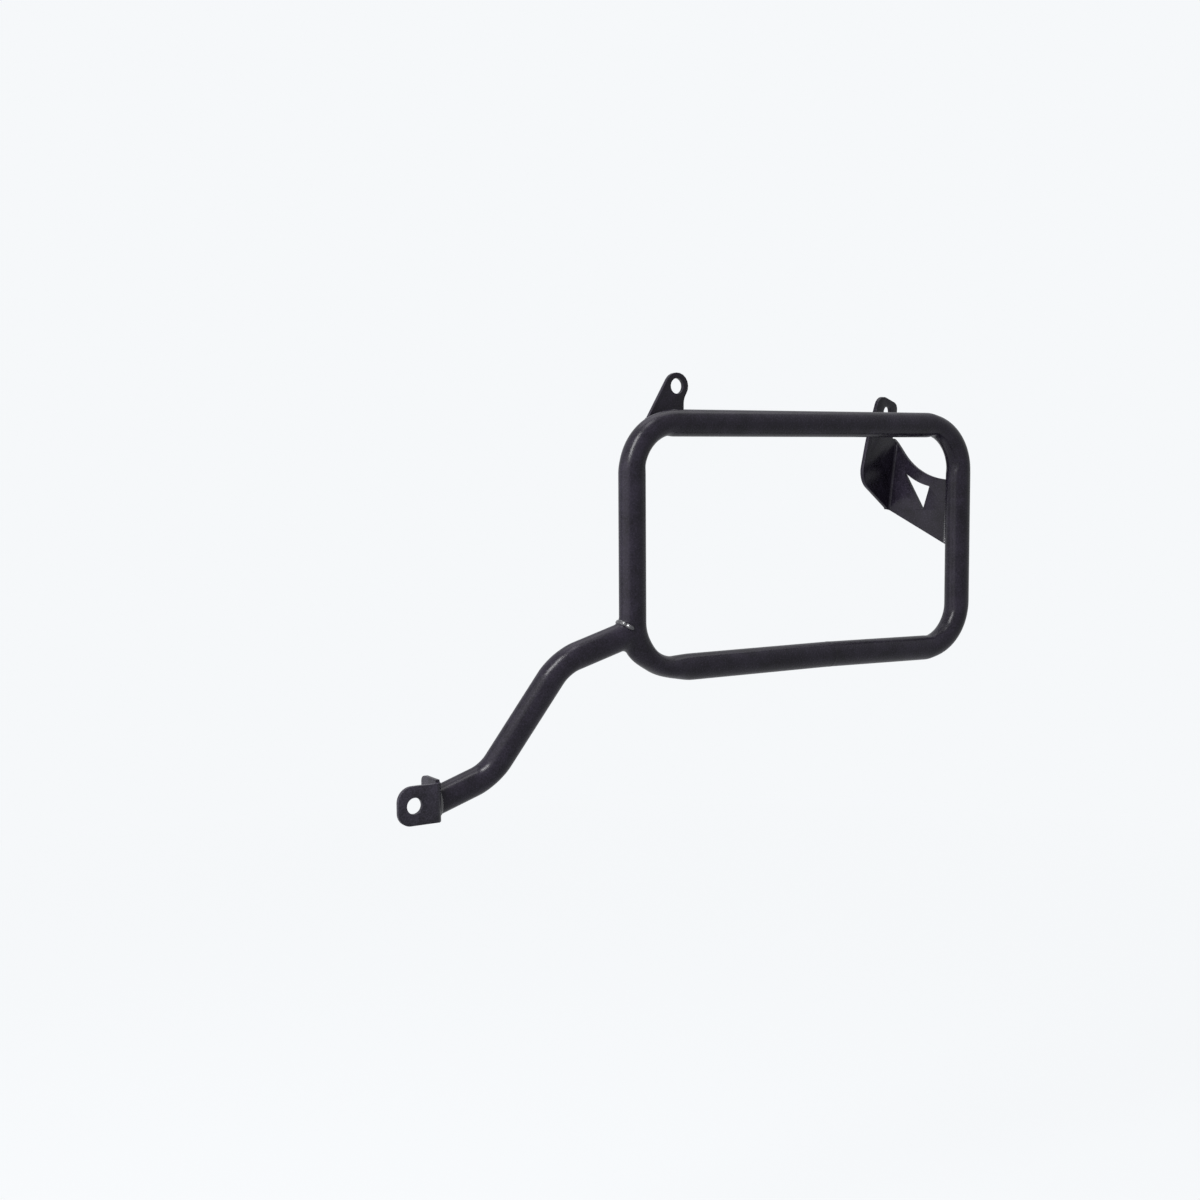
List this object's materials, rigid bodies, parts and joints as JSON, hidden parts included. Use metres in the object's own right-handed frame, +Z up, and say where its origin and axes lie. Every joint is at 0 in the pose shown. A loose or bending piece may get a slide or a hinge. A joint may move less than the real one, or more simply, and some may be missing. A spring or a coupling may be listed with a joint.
{
  "type": "pannier frame",
  "caption": "Pannier frame for a motorcycle's left side: a rounded steel tube loop with a bent stay and folded bolt-on brackets, all in black powder coat.",
  "frame": {"origin": "middle of the front tab's bolt hole, half way through its sheet", "axes": "+X rearward along the motorcycle, +Y inward towards its wheel, +Z up"},
  "size_m": [0.4646, 0.0755, 0.2852],
  "materials": {
    "coat": "black powder coat, satin, with a fine grain"
  },
  "bodies": {
    "root": {"loop_tube": "coat", "loop_butt_weld": "coat", "stay_tube": "coat", "stay_weld": "coat", "foot_bracket": "coat", "foot_weld": "coat", "front_tab": "coat", "tab_weld_upper": "coat", "tab_weld_lower": "coat", "rear_bracket": "coat", "arm_weld_front": "coat", "arm_weld_rear": "coat"}
  },
  "joints": []
}
